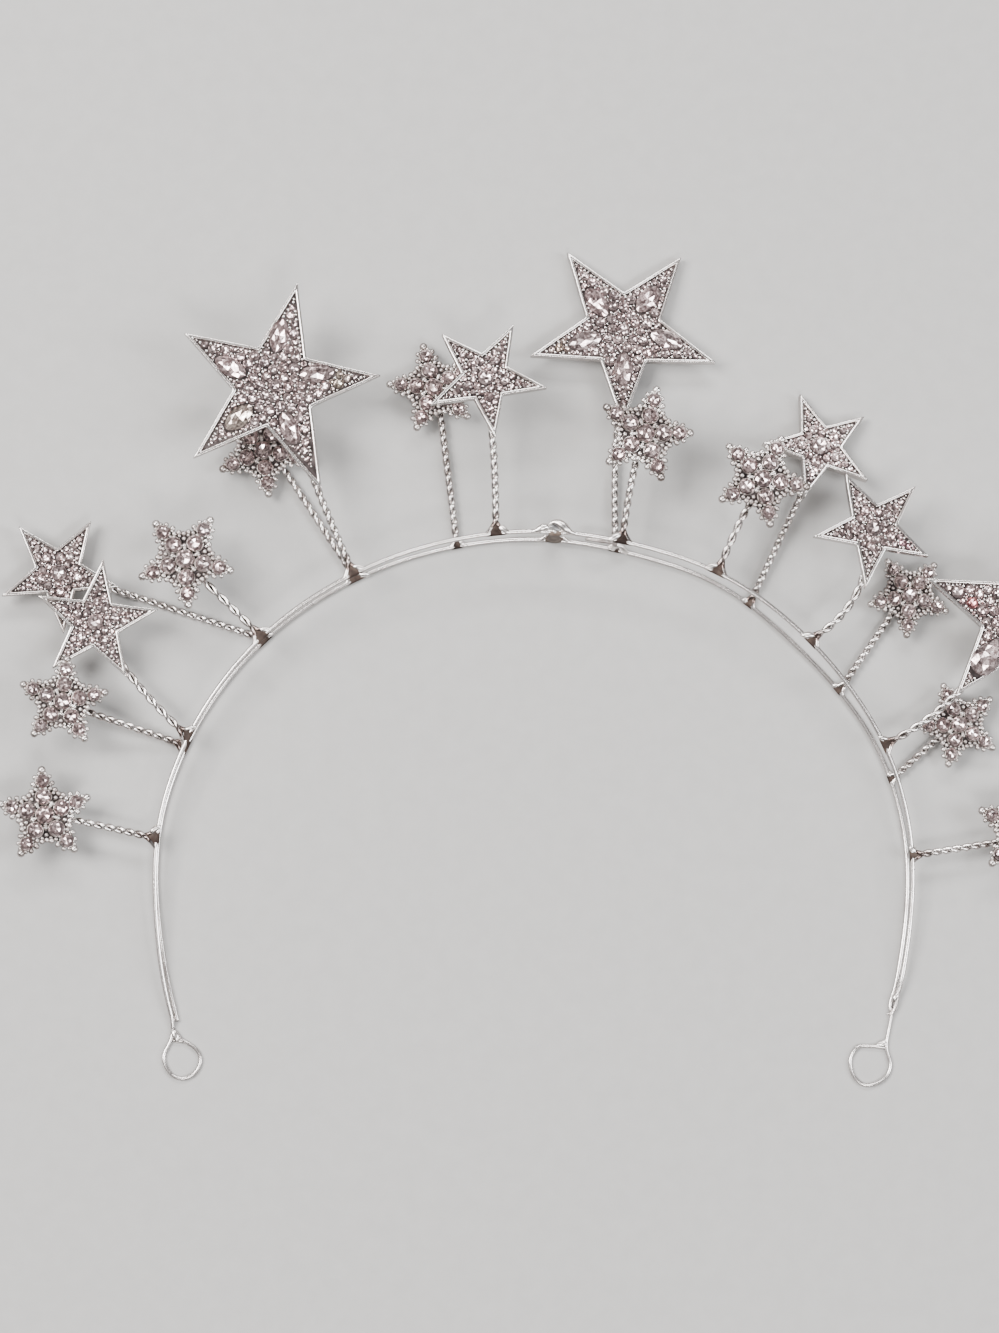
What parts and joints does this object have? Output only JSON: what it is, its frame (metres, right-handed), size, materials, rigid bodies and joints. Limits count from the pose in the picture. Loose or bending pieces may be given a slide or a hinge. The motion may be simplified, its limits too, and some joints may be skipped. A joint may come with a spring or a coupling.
{
  "type": "star halo crown",
  "caption": "Wire halo crown for the head: a curved band of two wires with soldered stars and snowflakes paved with cut stones on twisted stems, and a tie eyelet at each end.",
  "frame": {"origin": "middle of the arc that the band follows, on the surface that the rear wire rests on", "axes": "+X to the right of the crown as it is seen from its front, +Y to its top, +Z out of its front"},
  "size_m": [0.223, 0.1673, 0.0143],
  "materials": {
    "silver_plate": "bright silver plate, polished, slightly uneven",
    "solder": "dull grey-brown soft solder",
    "cut_stone": "clear cut glass backed with silver foil, with faint pink flashes"
  },
  "bodies": {
    "root": {"front_wire": "silver_plate", "rear_wire": "silver_plate", "wire_link": "solder", "left_eyelet": "silver_plate", "right_eyelet": "silver_plate", "snowflake_01": "silver_plate", "snowflake_02": "silver_plate", "medium_star_03": "silver_plate", "medium_star_04": "silver_plate", "snowflake_05": "silver_plate", "snowflake_06": "silver_plate", "big_star_07": "silver_plate", "snowflake_08": "silver_plate", "medium_star_09": "silver_plate", "big_star_10": "silver_plate", "snowflake_11": "silver_plate", "snowflake_12": "silver_plate", "medium_star_13": "silver_plate", "medium_star_14": "silver_plate", "snowflake_15": "silver_plate", "big_star_16": "silver_plate", "snowflake_17": "silver_plate", "snowflake_18": "silver_plate", "stones_01": "cut_stone", "stones_02": "cut_stone", "stones_03": "cut_stone", "stones_04": "cut_stone", "stones_05": "cut_stone", "stones_06": "cut_stone", "stones_07": "cut_stone", "stones_08": "cut_stone", "stones_09": "cut_stone", "stones_10": "cut_stone", "stones_11": "cut_stone", "stones_12": "cut_stone", "stones_13": "cut_stone", "stones_14": "cut_stone", "stones_15": "cut_stone", "stones_16": "cut_stone", "stones_17": "cut_stone", "stones_18": "cut_stone"}
  },
  "joints": []
}
